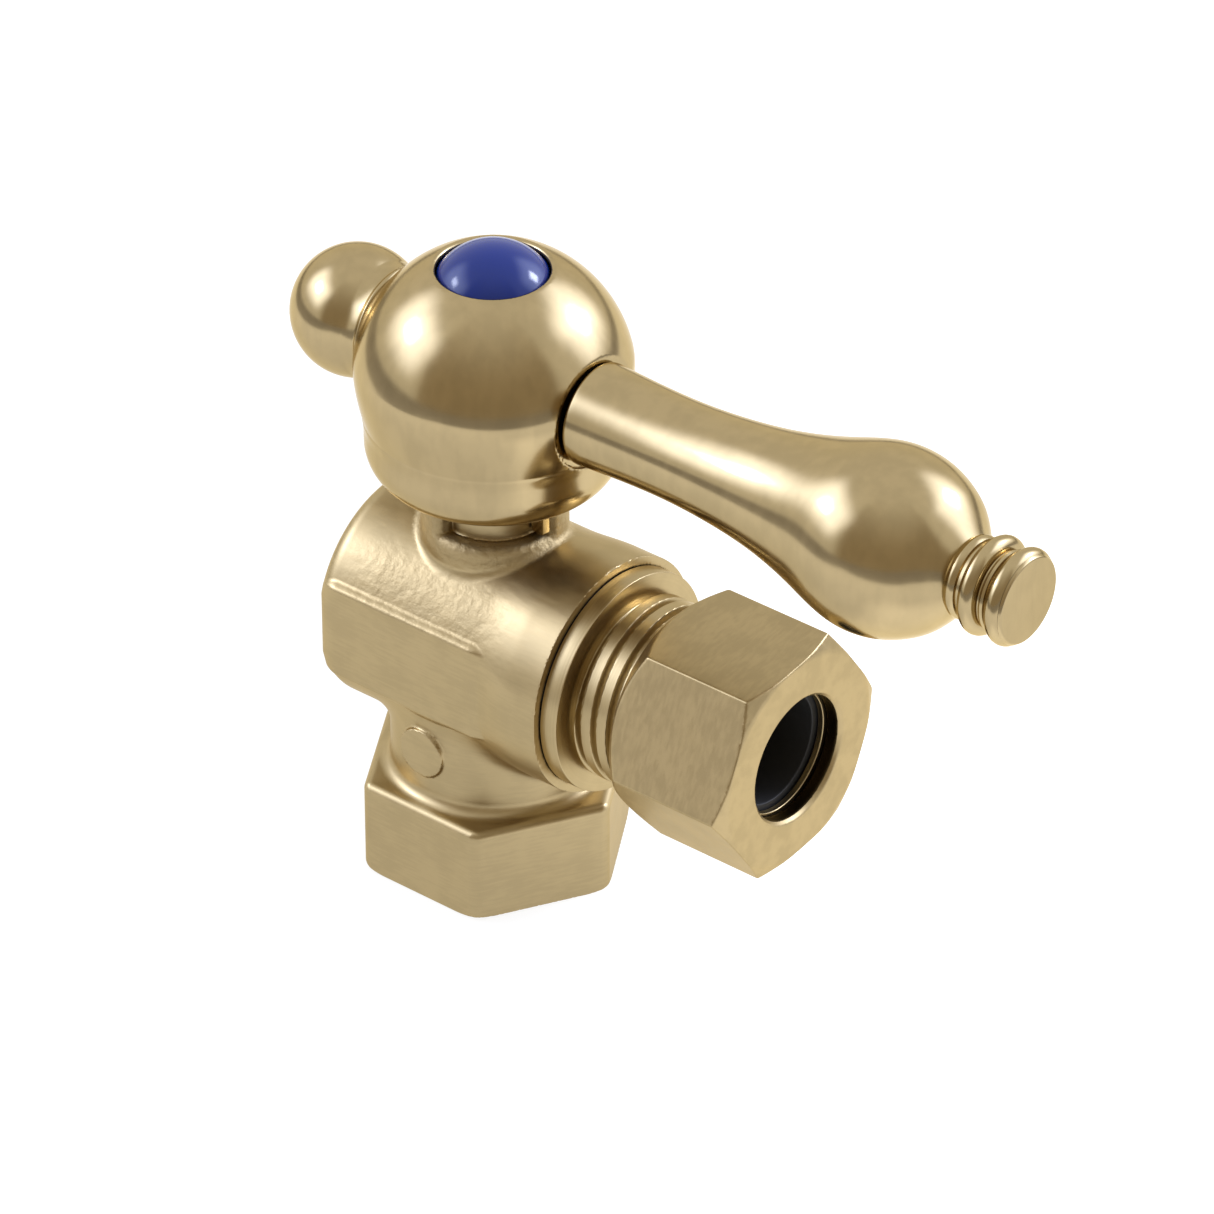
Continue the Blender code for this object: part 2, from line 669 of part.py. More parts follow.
def handle_screw(steel, handle_axis):
    head_low = POCKET_FLOOR_Z + 1.2 * mm
    profile = [
        (0, SCREW_FOOT_Z),
        (SCREW_R - 0.5 * mm, SCREW_FOOT_Z),
        (SCREW_R, SCREW_FOOT_Z + 0.6 * mm),
        (SCREW_R, head_low),
        (SCREW_HEAD_R, head_low),
        (SCREW_HEAD_R, head_low + 0.8 * mm),
        *arc(0, head_low + 0.8 * mm, 2.9 * mm, 0, 90, 3, stretch=0.55),
    ]
    screw = turned("handle_screw", profile, handle_axis, segments=COARSE)
    screw.data.materials.append(steel)
    blade_low = (-1.9 * mm, -0.35 * mm, -0.9 * mm)
    blade_high = (1.9 * mm, 0.35 * mm, 2 * mm)
    for i, turn in enumerate((0, math.pi / 2)):
        blade = box(f"cross_slot_{i}", blade_low, blade_high, handle_axis)
        blade.location = (0, 0, head_low + 2 * mm)
        blade.rotation_euler = (0, 0, turn)
        cut(screw, blade)
    return screw


def index_button(plastic, button_axis):
    """A domed cap with a plug that presses into the hub's pocket."""
    rise = BUTTON_TOP_Z - BUTTON_EDGE_Z
    radius = (BUTTON_R**2 + rise**2) / (2 * rise)
    edge = math.degrees(math.acos(BUTTON_R / radius))
    plug_r = POCKET_R - GAP
    profile = [
        (0, BUTTON_SEAT_Z - 0.2 * mm),
        (plug_r - 1.2 * mm, BUTTON_SEAT_Z - 0.2 * mm),
        (plug_r - 1.2 * mm, 73.9 * mm),
        (plug_r, 73.9 * mm),
        (plug_r, BUTTON_SEAT_Z + GAP),
        (BUTTON_R, BUTTON_SEAT_Z + GAP),
        *arc(0, BUTTON_TOP_Z - radius, radius, edge, 90, 5),
    ]
    button = turned("index_button", profile, button_axis, segments=FINE)
    button.data.materials.append(plastic)
    return button


def build():
    clear_scene()
    satin = material("satin_brass", BRASS, 0.35, 1.0)
    polished = material("polished_brass", BRASS, 0.08, 1.0)
    steel = material("stainless_steel", (0.55, 0.55, 0.54), 0.25, 1.0)
    rubber = material("black_rubber", (0.012, 0.012, 0.012), 0.6, 0.0)
    ptfe = material("white_ptfe", (0.86, 0.86, 0.83), 0.45, 0.0)
    blue = material("blue_plastic", (0.01, 0.035, 0.32), 0.2, 0.0)

    outlet_axis = axis_empty("outlet_axis", (0, 0, BARREL_Z), "X")
    nut_axis = axis_empty("nut_axis", (0, 0, BARREL_Z), "X")
    handle_axis = axis_empty("handle_axis", (0, 0, 0))
    button_axis = axis_empty("button_axis", (0, 0, 0), "Z", handle_axis)
    lever_axis = axis_empty("lever_axis", (0, 0, HANDLE_Z), "X", handle_axis)
    knob_axis = axis_empty("knob_axis", (0, 0, HANDLE_Z), "-X", handle_axis)

    valve_body(satin, outlet_axis)
    outlet_adapter(satin, outlet_axis)
    span = (GASKET_SEAT_X + GAP, BARREL_FRONT_X)
    ring("adapter_gasket", THREAD_BORE_R + 0.3 * mm, GASKET_SEAT_R - GAP, span, rubber, outlet_axis)
    outlet_nut(satin, nut_axis)
    ring_front = NUT_FRONT_X - NUT_LIP - GAP
    span = (ring_front - RING_THICK, ring_front)
    ring("friction_ring", RING_BORE_R, NUT_BORE_R - GAP, span, satin, nut_axis)
    outlet_washer(rubber, nut_axis)
    seat("outlet_seat", ptfe, outlet_axis, 1)
    seat("rear_seat", ptfe, outlet_axis, -1)
    span = (STEM_FLANGE_Z + STEM_FLANGE_THICK + GAP, STEM_POCKET_TOP - GAP)
    ring("stem_thrust_washer", STEM_BORE_R, STEM_FLANGE_R, span, ptfe, segments=COARSE)

    valve_ball(steel, handle_axis)
    stem(satin, handle_axis)
    o_ring("lower_o_ring", rubber, handle_axis, O_RING_Z[0])
    o_ring("upper_o_ring", rubber, handle_axis, O_RING_Z[1])
    handle_hub(polished, handle_axis, lever_axis, knob_axis)
    lever(polished, lever_axis)
    ball_knob(polished, knob_axis)
    stud("lever_stud", steel, lever_axis, LEVER_STUD_END_X)
    stud("knob_stud", steel, knob_axis, KNOB_STUD_END_X)
    span = (POCKET_FLOOR_Z + GAP, POCKET_FLOOR_Z + GAP + LOCK_WASHER_THICK)
    ring("lock_washer", SCREW_HOLE_R, SCREW_HEAD_R, span, steel, handle_axis, COARSE)
    handle_screw(steel, handle_axis)
    index_button(blue, button_axis)


build()
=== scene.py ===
"""Looks of the angle stop valve: fine meshes, brass and plastic materials, studio light and camera.

Shapes are worked out in millimetres and stored in metres. Solids that blend into each other come from
distance functions, which a surface net turns into meshes. Turned pieces are spun from profiles.
"""

import json
import math

import bpy
import numpy as np
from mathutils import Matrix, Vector


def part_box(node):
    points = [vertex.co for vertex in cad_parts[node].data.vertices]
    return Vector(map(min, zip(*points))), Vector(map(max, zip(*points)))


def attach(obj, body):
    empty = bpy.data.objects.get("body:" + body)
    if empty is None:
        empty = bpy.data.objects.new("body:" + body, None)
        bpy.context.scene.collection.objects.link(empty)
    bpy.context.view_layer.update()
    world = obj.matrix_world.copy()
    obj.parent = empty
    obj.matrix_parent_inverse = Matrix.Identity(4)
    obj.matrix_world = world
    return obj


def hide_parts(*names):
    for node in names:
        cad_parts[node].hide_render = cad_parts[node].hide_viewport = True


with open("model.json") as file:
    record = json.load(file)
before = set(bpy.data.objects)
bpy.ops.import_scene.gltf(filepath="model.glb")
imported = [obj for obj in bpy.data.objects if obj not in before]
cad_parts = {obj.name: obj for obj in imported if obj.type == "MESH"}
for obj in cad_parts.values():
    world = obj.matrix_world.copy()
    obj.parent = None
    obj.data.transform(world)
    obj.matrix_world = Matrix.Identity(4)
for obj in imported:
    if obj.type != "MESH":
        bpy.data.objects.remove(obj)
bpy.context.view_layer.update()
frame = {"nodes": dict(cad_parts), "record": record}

MM = 0.001


def node_box(node):
    """A CAD node's lowest and highest corner, in millimetres."""
    low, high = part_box(node)
    return [c / MM for c in low], [c / MM for c in high]


# ---------------------------------------------------------------- sizes, in millimetres

body_low, body_high = node_box("valve_body")
adapter_low, adapter_high = node_box("outlet_adapter")
nut_low, nut_high = node_box("outlet_nut")
hub_low, hub_high = node_box("handle_hub")
lever_low, lever_high = node_box("lever")
button_low, button_high = node_box("index_button")
washer_low, washer_high = node_box("outlet_washer")
ring_low, ring_high = node_box("friction_ring")

# Forged body
BARREL_Z, BARREL_R, MOUTH_SWELL, MOUTH_X = 30.5, 13.9, 0.4, 17.12
SIDE_FLAT_Y, SIDE_FLAT_HALF, SIDE_FLAT_END_X = 13.3, 6.2, 9.4
HEX_FLATS, HEX_TOP_Z, HEX_CHAMFER_R = 28.6, 12.0, 15.9
NECK_R = 12.3
PAD_X, PAD_Y, PAD_Z, PAD_R = -0.9, -12.75, 18.6, 3.1
BOSS_R, BOSS_TOP_Z = 8.4, 50.9
STEM_NECK_R, STOP_FLOOR_Z = 6.05, 45.6
CUTAWAY_MIDDLE, CUTAWAY_HALF = math.radians(-50.5), math.radians(51)
PIPE_R, PIPE_DEPTH, PIPE_TAPER, PIPE_PITCH, PIPE_THREAD = 10.3, 13.5, 0.037, 1.814, 0.32
PORT_R, CHAMBER_R, THREAD_BORE_R, GASKET_SEAT_R, STEM_BORE_R = 5.6, 10.2, 11.2, 13.1, 3.75
CHAMBER_BACK_X, THREAD_BORE_X, GASKET_SEAT_X, POCKET_TOP_Z = -10.2, 10.0, 15.7, 42.6

# Outlet
THREAD_ROOT_R, THREAD_CREST_R, THREAD_PITCH = 10.3, 11.1, 2.2
THREAD_START_X, THREAD_END_X = 19.9, 31.5
FLANGE_R, FLANGE_BACK_X, FLANGE_FRONT_X = 13.25, 17.24, 19.5
SPIGOT_R, NOSE_R = 10.9, 8.4
WASHER_BORE_R, WASHER_TIP_R, WASHER_TAPER = 6.6, 7.1, 3.3
RING_BORE_R, GASKET_BORE_R = 7.3, 11.5
NUT_FLATS, NUT_TWIST = 25.5, math.radians(5.6)
NUT_BORE_R, NUT_HOLE_R, NUT_LIP = 11.45, 7.6, 1.9
NUT_BACK_R, NUT_FRONT_R = 12.25, 12.85
NUT_THREAD, NUT_THREAD_END_X = 0.25, 36

# Handle
HANDLE_Z = 64.6
HUB_Z, HUB_R = 63.4, 16.0
WAIST_Z = 63.2
COLLAR_TOP_Z, COLLAR_TOP_R = 57.8, 14.7
COLLAR_BOTTOM_Z = 51.3
COLLAR_MID_R, COLLAR_MID_Z, COLLAR_BULGE = 10.7, 55.8, 4.0
RECESS_R, RECESS_RIM = 6.4, 0.7
BUTTON_EDGE_Z, BUTTON_R = 77.2, 6.28
POCKET_R, POCKET_FLOOR_Z, BUTTON_SEAT_Z = 5.5, 69.2, 75.6
STUD_BORE_R, DRIVE_HALF, SCREW_BORE_R = 2.7, 2.8, 2.0
LEVER_SEAT_R, LEVER_SEAT_X = 6.6, 14.15
KNOB_SEAT_R, KNOB_SEAT_X = 7.8, 13.5
TAB_ANGLE, TAB_HALF_WIDTH = math.radians(-5.5), 0.62
TAB_INNER_R, TAB_OUTER_R, TAB_LOW_Z, TAB_HIGH_Z = 6.35, 8.1, 46.2, 52.3
DRIVE_TOP_Z, STUD_BORE_END_X = 61.8, 7.4
LEVER_FOOT_R, BULB_X, BULB_R, BULB_HALF = 6.05, 54.8, 10.8, 11.8
KNOB_R, KNOB_X, KNOB_NECK_R, KNOB_FOOT_R, KNOB_ROOT_X = 7.75, 19.9, 6.95, 7.35, 13.8


# ---------------------------------------------------------------- distance functions


def slab(t, low, high):
    """Inside between low and high."""
    return np.maximum(low - t, t - high)


def round_and(a, b, radius):
    """Where both are inside, with the outer edge between them rounded."""
    u = np.maximum(radius + a, 0)
    v = np.maximum(radius + b, 0)
    return np.minimum(-radius, np.maximum(a, b)) + np.hypot(u, v)


def round_or(a, b, radius):
    """Where either is inside, with a fillet of that radius in the corner between them."""
    u = np.maximum(radius - a, 0)
    v = np.maximum(radius - b, 0)
    return np.maximum(radius, np.minimum(a, b)) - np.hypot(u, v)


def without(a, b, radius):
    """Where a is inside and b isn't, with the edge of the cut rounded."""
    return round_and(a, -b, radius)


def ease(t, start, end):
    """0 before start, 1 after end, and smooth between."""
    share = np.clip((t - start) / (end - start), 0, 1)
    return share * share * (3 - 2 * share)


def shaft(r, t, radius, low, high, edge=0.3):
    """A round bar from low to high along t, at the distance r from its axis."""
    return round_and(r - radius, slab(t, low, high), edge)


def cone(r, t, radius, at, slope):
    """Inside a cone that has that radius at t = at and widens by slope."""
    return (r - radius - slope * (t - at)) / math.hypot(1, slope)


def hexagon(u, v, flats, twist=0.0, edge=0.5):
    """A hexagonal bar with a corner at the angle twist from +u."""
    sides = []
    for i in range(3):
        angle = twist + math.radians(30 + 60 * i)
        sides.append(np.abs(u * math.cos(angle) + v * math.sin(angle)) - flats / 2)
    return round_and(round_and(sides[0], sides[1], edge), sides[2], edge)


def ripple(t, angle, pitch):
    """A helical thread's height from 0 to 1, as a trapezoid wave."""
    phase = np.mod(t / pitch - angle / math.tau, 1.0)
    return ease(-np.abs(phase - 0.5), -0.44, -0.27)


# ---------------------------------------------------------------- meshes


def slopes(shape, points, reach=0.02):
    """The gradient of a distance function at points."""
    columns = []
    for axis in range(3):
        step = np.zeros(3)
        step[axis] = reach
        columns.append((shape(*(points + step).T) - shape(*(points - step).T)) / (2 * reach))
    return np.stack(columns, 1)


def crossings(inside, axis):
    """Grid edges along one axis whose two ends lie on different sides of the surface."""
    near = inside.take(range(inside.shape[axis] - 1), axis)
    far = inside.take(range(1, inside.shape[axis]), axis)
    return np.argwhere(near != far)


def unit(vectors):
    """The vectors, each made one long."""
    return vectors / np.maximum(np.linalg.norm(vectors, axis=-1, keepdims=True), 1e-9)


def meeting_points(points, ways, where, centre, pull=0.1):
    """For each cell, the point nearest to the planes through its crossings, so that edges come out crisp."""
    matrix = np.tile(pull * np.eye(3), (len(centre), 1, 1))
    side = np.zeros((len(centre), 3))
    height = ((points - centre[where]) * ways).sum(1)
    for i in range(3):
        side[:, i] = np.bincount(where, ways[:, i] * height)
        for j in range(3):
            matrix[:, i, j] += np.bincount(where, ways[:, i] * ways[:, j])
    return centre + np.linalg.solve(matrix, side[..., None])[..., 0]


def surface_net(shape, low, high, step):
    """Vertices and quads of the surface where shape is zero, inside the box from low to high."""
    axes = [np.arange(a - 2 * step, b + 3 * step, step) for a, b in zip(low, high)]
    grid = np.meshgrid(*axes, indexing="ij")
    field = shape(*grid)
    inside = field < 0
    counts = np.array(inside.shape)
    key = np.array([counts[1] * counts[2], counts[2], 1])
    start = np.array([axis[0] for axis in axes])
    found_cells, found_points, found_ways, quads = [], [], [], []
    for axis in range(3):
        near = crossings(inside, axis)
        far = near.copy()
        far[:, axis] += 1
        a, b = field[tuple(near.T)], field[tuple(far.T)]
        point = near.astype(float)
        point[:, axis] += a / (a - b)
        way = unit(slopes(shape, start + point * step))
        side, up = (axis + 1) % 3, (axis + 2) % 3
        corners = []
        for back_side, back_up in ((1, 1), (0, 1), (0, 0), (1, 0)):
            cell = near.copy()
            cell[:, side] -= back_side
            cell[:, up] -= back_up
            corners.append(cell @ key)
            found_cells.append(cell @ key)
            found_points.append(point)
            found_ways.append(way)
        quad = np.stack(corners, 1)
        flipped = ~inside[tuple(near.T)]
        quad[flipped] = quad[flipped][:, ::-1]
        quads.append(quad)
    names, where = np.unique(np.concatenate(found_cells), return_inverse=True)
    points = np.concatenate(found_points)
    share = np.bincount(where)
    centre = np.stack([np.bincount(where, points[:, k]) / share for k in range(3)], 1)
    cell = np.stack(np.unravel_index(names, inside.shape), 1)
    vertex = np.clip(meeting_points(points, np.concatenate(found_ways), where, centre), cell, cell + 1)
    return start + vertex * step, np.searchsorted(names, np.concatenate(quads))


def settle(shape, points, step, rounds=5):
    """Moves points onto the surface along the slope."""
    for _ in range(rounds):
        slope = slopes(shape, points)
        size = np.maximum((slope**2).sum(1), 1e-3)
        move = -shape(*points.T)[:, None] * slope / size[:, None]
        points = points + np.clip(move, -step / 2, step / 2)
    return points


def corner_normals(shape, points, faces, crisp=20):
    """A normal for each corner of each face: the surface's own, or on a crisp edge the face's side of it."""
    made = unit(slopes(shape, points))[faces]
    bent = (made * made[:, :1]).sum(2).min(1) < math.cos(math.radians(crisp / 2))
    corners = points[faces[bent]]
    inner = 0.3 * corners + 0.7 * corners.mean(1, keepdims=True)
    beside = unit(slopes(shape, inner.reshape(-1, 3))).reshape(corners.shape)
    apart = (made[bent] * beside).sum(2, keepdims=True) < math.cos(math.radians(crisp))
    made[bent] = np.where(apart, beside, made[bent])
    return made.reshape(-1, 3)


def mesh_object(name, points, faces, normals=None, sharp=None):
    """A smooth-shaded object from points in millimetres. Edges that turn over sharp degrees stay hard."""
    mesh = bpy.data.meshes.new(name)
    corners = faces if isinstance(faces, list) else faces.tolist()
    mesh.from_pydata((np.asarray(points) * MM).tolist(), [], corners)
    mesh.validate()
    mesh.shade_smooth()
    if sharp:
        mesh.set_sharp_from_angle(angle=math.radians(sharp))
    if normals is not None:
        mesh.normals_split_custom_set(normals.tolist())
    made = bpy.data.objects.new(name, mesh)
    bpy.context.scene.collection.objects.link(made)
    return made


def carved(name, shape, low, high, step):
    """A piece from a distance function, with its normals taken from the function too."""
    points, faces = surface_net(shape, low, high, step)
    points = settle(shape, points, step)
    return mesh_object(name, points, faces, corner_normals(shape, points, faces))


def spun(name, profile, axis="Z", centre=(0, 0, 0), sides=128, closed=False, thread=None, sharp=30):
    """A turned piece. Profile points are (r, along); the ends lie on the axis, or it closes into a ring."""
    turn = {
        "Z": lambda r, t, a: (r * math.cos(a), r * math.sin(a), t),
        "X": lambda r, t, a: (t, r * math.cos(a), r * math.sin(a)),
        "-X": lambda r, t, a: (-t, -r * math.cos(a), r * math.sin(a)),
    }[axis]
    points, rows = [], []
    for r, t in profile:
        if r < 1e-6:
            rows.append([len(points)] * sides)
            points.append(turn(0, t, 0))
            continue
        rows.append(list(range(len(points), len(points) + sides)))
        for i in range(sides):
            angle = math.tau * i / sides
            rise = thread(r, t, angle) if thread else 0
            points.append(turn(r + rise, t, angle))
    faces = []
    pairs = list(zip(rows, rows[1:])) + ([(rows[-1], rows[0])] if closed else [])
    for near, far in pairs:
        for i in range(sides):
            j = (i + 1) % sides
            corners = [near[i], near[j], far[j], far[i]]
            faces.append(list(dict.fromkeys(corners)))
    return mesh_object(name, np.array(points) + np.array(centre), faces, sharp=sharp)


def arc(centre_r, centre_t, radius, start, end, count):
    """Points on an arc from start to end degrees, 0 pointing outwards and 90 along the axis."""
    angles = np.radians(np.linspace(start, end, count + 1))
    return [(centre_r + radius * math.cos(a), centre_t + radius * math.sin(a)) for a in angles]


def smooth_curve(points, count):
    """Points (r, along) on the cubic spline through the given ones, which bends as evenly as it can."""
    r, t = np.array(points, float).T
    gap = np.diff(t)
    matrix = np.eye(len(t))
    side = np.zeros(len(t))
    for i in range(1, len(t) - 1):
        matrix[i, i - 1 : i + 2] = gap[i - 1], 2 * (gap[i - 1] + gap[i]), gap[i]
        side[i] = 6 * ((r[i + 1] - r[i]) / gap[i] - (r[i] - r[i - 1]) / gap[i - 1])
    bend = np.linalg.solve(matrix, side)
    at = np.linspace(t[0], t[-1], count)
    i = np.clip(np.searchsorted(t, at) - 1, 0, len(gap) - 1)
    before, after, width = at - t[i], t[i + 1] - at, gap[i]
    made = (bend[i] * after**3 + bend[i + 1] * before**3) / (6 * width)
    made += (r[i] / width - bend[i] * width / 6) * after
    made += (r[i + 1] / width - bend[i + 1] * width / 6) * before
    return list(zip(made.tolist(), at.tolist()))


def fillet(profile, radius, count=4, least_turn=20):
    """The profile with each corner that turns sharply replaced by a small arc."""
    made = [profile[0]]
    for before, corner, after in zip(profile, profile[1:], profile[2:]):
        a, b = Vector(before) - Vector(corner), Vector(after) - Vector(corner)
        if a.length < 1e-6 or b.length < 1e-6 or math.degrees(math.pi - a.angle(b)) < least_turn:
            made.append(corner)
            continue
        reach = min(radius, a.length * 0.45, b.length * 0.45)
        start = Vector(corner) + a.normalized() * reach
        end = Vector(corner) + b.normalized() * reach
        for i in range(count + 1):
            t = i / count
            point = start * (1 - t) ** 2 + Vector(corner) * 2 * t * (1 - t) + end * t**2
            made.append(tuple(point))
    return [*made, profile[-1]]


# ---------------------------------------------------------------- materials


def node(tree, kind, inputs=None, **settings):
    """A shader node whose inputs are each linked to a socket or set to a value."""
    made = tree.nodes.new(kind)
    for name, value in settings.items():
        setattr(made, name, value)
    for name, value in (inputs or {}).items():
        if isinstance(value, bpy.types.NodeSocket):
            tree.links.new(value, made.inputs[name])
        else:
            made.inputs[name].default_value = value
    return made


def dot(tree, way, axis):
    """How far the socket's vector goes along a fixed axis."""
    inputs = {0: way, 1: tuple(axis)}
    return node(tree, "ShaderNodeVectorMath", inputs, operation="DOT_PRODUCT").outputs["Value"]


def math_node(tree, operation, a, b=0.0):
    return node(tree, "ShaderNodeMath", {0: a, 1: b}, operation=operation).outputs[0]


def smooth_step(tree, socket, start, end, low=0.0, high=1.0):
    inputs = {0: socket, 1: start, 2: end, 3: low, 4: high}
    return node(tree, "ShaderNodeMapRange", inputs, interpolation_type="SMOOTHSTEP").outputs[0]


def new_material(name, roughness, metallic):
    made = bpy.data.materials.new(name)
    made.use_nodes = True
    shader = made.node_tree.nodes["Principled BSDF"]
    shader.inputs["Roughness"].default_value = roughness
    shader.inputs["Metallic"].default_value = metallic
    return made, made.node_tree, shader


def ramp(tree, socket, low, high):
    """socket's 0..1 mapped to low..high."""
    return node(tree, "ShaderNodeMapRange", {0: socket, 3: low, 4: high}).outputs[0]


def blend(tree, factor, a, b):
    inputs = {"Factor": factor, "A": a, "B": b}
    return node(tree, "ShaderNodeMix", inputs, data_type="RGBA").outputs["Result"]


def noise(tree, position, scale, detail):
    inputs = {"Vector": position, "Scale": scale, "Detail": detail}
    return node(tree, "ShaderNodeTexNoise", inputs).outputs["Fac"]


def stretched(tree, position, scale):
    return node(tree, "ShaderNodeVectorMath", {0: position, 1: scale}, operation="MULTIPLY").outputs[0]


def turned_position(tree, position):
    """(radius, along, 0) about the outlet's axis, in metres, so that a texture runs in rings."""
    along, across, up = node(tree, "ShaderNodeSeparateXYZ", {0: position}).outputs
    lifted = math_node(tree, "SUBTRACT", up, BARREL_Z * MM)
    flat = node(tree, "ShaderNodeCombineXYZ", {0: across, 1: lifted, 2: 0.0}).outputs[0]
    radius = node(tree, "ShaderNodeVectorMath", {0: flat}, operation="LENGTH").outputs["Value"]
    return node(tree, "ShaderNodeCombineXYZ", {0: radius, 1: along, 2: 0.0}).outputs[0]


def shades(tree, factor, colour, spread):
    """The colour, lighter and darker by that share as the factor goes from 1 to 0."""
    light = [min(1.0, c * (1 + spread)) for c in colour]
    dark = [c * (1 - spread) for c in colour]
    return blend(tree, factor, (*dark, 1), (*light, 1))


def brass(name, colour, roughness, brush, brush_depth, rings=False, cast=False, bore=False, spread=0.05):
    """Brass with fine tool marks and small changes of tone.

    rings turns the marks about the outlet's axis. cast adds the as-forged skin that the mesh's "skin" value
    asks for, and bore paints shade: it darkens the colour where the mesh's "bore" value asks for it.
    """
    made, tree, shader = new_material(name, roughness, 1.0)
    shader.inputs["Specular Tint"].default_value = EDGE_TINT
    position = node(tree, "ShaderNodeTexCoord").outputs["Object"]
    marks_at = turned_position(tree, position) if rings else position
    marks = noise(tree, stretched(tree, marks_at, brush), 1.0, 4.0)
    clouds = noise(tree, position, CLOUD_SCALE, 4.0)
    tone = math_node(tree, "ADD", marks, clouds)
    colours = shades(tree, smooth_step(tree, tone, 0.78, 1.22), colour, spread)
    # Painted shade: where the mesh's "bore" value is high, the colour darkens to a deep brown, so the nut's
    # hole wall looks shaded.
    if bore:
        painted_bore_shade = node(tree, "ShaderNodeAttribute", attribute_name="bore").outputs["Fac"]
        colours = blend(tree, painted_bore_shade, colours, (*BORE_SHADE_BRASS, 1))
    tree.links.new(colours, shader.inputs["Base Color"])
    rough = ramp(tree, marks, roughness * 0.8, roughness * 1.25)
    bump = node(tree, "ShaderNodeBump", {"Height": marks, "Strength": 1.0, "Distance": brush_depth * MM})
    if cast:
        skin = node(tree, "ShaderNodeAttribute", attribute_name="skin").outputs["Fac"]
        grain = noise(tree, position, SKIN_SCALE, 5.0)
        inputs = {"Height": math_node(tree, "MULTIPLY", grain, skin), "Distance": SKIN_DEPTH * MM}
        bump = node(tree, "ShaderNodeBump", {**inputs, "Strength": 1.0, "Normal": bump.outputs[0]})
        rough = math_node(tree, "ADD", rough, math_node(tree, "MULTIPLY", skin, SKIN_ROUGHNESS))
    tree.links.new(rough, shader.inputs["Roughness"])
    tree.links.new(bump.outputs[0], shader.inputs["Normal"])
    return made


def coated(name, colour, roughness, metallic=0.0, grain=400.0, depth=0.004, shine=0.5):
    """A plain material with a fine grain in its colour, gloss and surface."""
    made, tree, shader = new_material(name, roughness, metallic)
    shader.inputs["Specular IOR Level"].default_value = shine
    position = node(tree, "ShaderNodeTexCoord").outputs["Object"]
    fine = noise(tree, position, grain, 3.0)
    tree.links.new(shades(tree, fine, colour, 0.1), shader.inputs["Base Color"])
    tree.links.new(ramp(tree, fine, roughness * 0.85, roughness * 1.15), shader.inputs["Roughness"])
    bump = node(tree, "ShaderNodeBump", {"Height": fine, "Strength": 1.0, "Distance": depth * MM})
    tree.links.new(bump.outputs[0], shader.inputs["Normal"])
    return made


BRASS = (0.42, 0.328, 0.178)
MILLED_BRASS = (0.39, 0.30, 0.158)
# A deep brown for the painted shade on the nut's hole wall.
BORE_SHADE_BRASS = (0.05, 0.032, 0.014)
EDGE_TINT = (0.92, 0.82, 0.62, 1)
CLOUD_SCALE, SKIN_SCALE = 260.0, 900.0  # noise cells per metre
SKIN_DEPTH, SKIN_ROUGHNESS = 0.25, 0.2  # the skin's depth in millimetres, and what it adds to the roughness
materials = {
    "forged": brass("forged_brass", BRASS, 0.36, (350, 350, 3000), 0.006, cast=True),
    "turned": brass("turned_brass", BRASS, 0.30, (3000, 5200, 0), 0.008, rings=True),
    "nut": brass("milled_brass_bore_shade", MILLED_BRASS, 0.33, (1900, 600, 600), 0.007, bore=True, spread=0.07),
    "polished": brass("polished_brass", BRASS, 0.165, (600, 600, 150), 0.0004, spread=0.045),
    "steel": coated("stainless_steel", (0.56, 0.56, 0.55), 0.25, 1.0),
    "rubber": coated("black_rubber", (0.012, 0.012, 0.012), 0.6, grain=1500.0, depth=0.01),
    "ptfe": coated("white_ptfe", (0.84, 0.84, 0.81), 0.45),
    "blue": coated("blue_plastic", (0.001, 0.017, 0.17), 0.15, grain=60.0, depth=0.002, shine=0.42),
}


# ---------------------------------------------------------------- forged body


def stop_cutaway(x, y, z):
    """The quarter of the stem boss that is cut back, where the handle's stop tab sweeps."""
    off_axis = x * math.cos(CUTAWAY_MIDDLE) + y * math.sin(CUTAWAY_MIDDLE)
    across = np.abs(-x * math.sin(CUTAWAY_MIDDLE) + y * math.cos(CUTAWAY_MIDDLE))
    wedge = across * math.cos(CUTAWAY_HALF) - off_axis * math.sin(CUTAWAY_HALF)
    return round_and(round_and(wedge, STEM_NECK_R - np.hypot(x, y), 0.25), STOP_FLOOR_Z - z, 0.3)


def barrel_outside(x, y, z):
    """The horizontal barrel: round, with a flat band on each side and a slightly wider round mouth."""
    height = z - BARREL_Z
    ring = np.hypot(y, height)
    round_form = ring - BARREL_R - MOUTH_SWELL * ease(x, 6.5, 13.0)
    barrel = round_and(round_form, np.abs(y) - SIDE_FLAT_Y - 1.1 * ease(x, 7.6, 13.4), 0.6)
    barrel = round_and(barrel, body_low[0] - x, 2.4)
    band = round_and(np.abs(y) - SIDE_FLAT_Y, np.abs(height) - SIDE_FLAT_HALF, 0.7)
    band = round_and(band, slab(x, body_low[0] + 0.4, SIDE_FLAT_END_X), 2.8)
    return round_and(round_or(barrel, band, 0.5), x - MOUTH_X, 0.12)


def inlet_outside(x, y, z):
    """The neck below the barrel, with the inlet hexagon and a plain round pad on its front."""
    r = np.hypot(x, y)
    neck = shaft(r, z, NECK_R, 7.0, 27.0)
    bar = round_and(hexagon(x, y, HEX_FLATS, 0.0, 0.8), slab(z, -1.0, HEX_TOP_Z), 1.0)
    bar = round_and(round_and(bar, cone(r, z, HEX_CHAMFER_R, 0, 1.2), 0.5), -z, 0.2)
    pad = shaft(np.hypot(x - PAD_X, z - PAD_Z), y, PAD_R, PAD_Y, -8.0, 0.25)
    return round_or(round_or(neck, bar, 1.5), pad, 0.35)


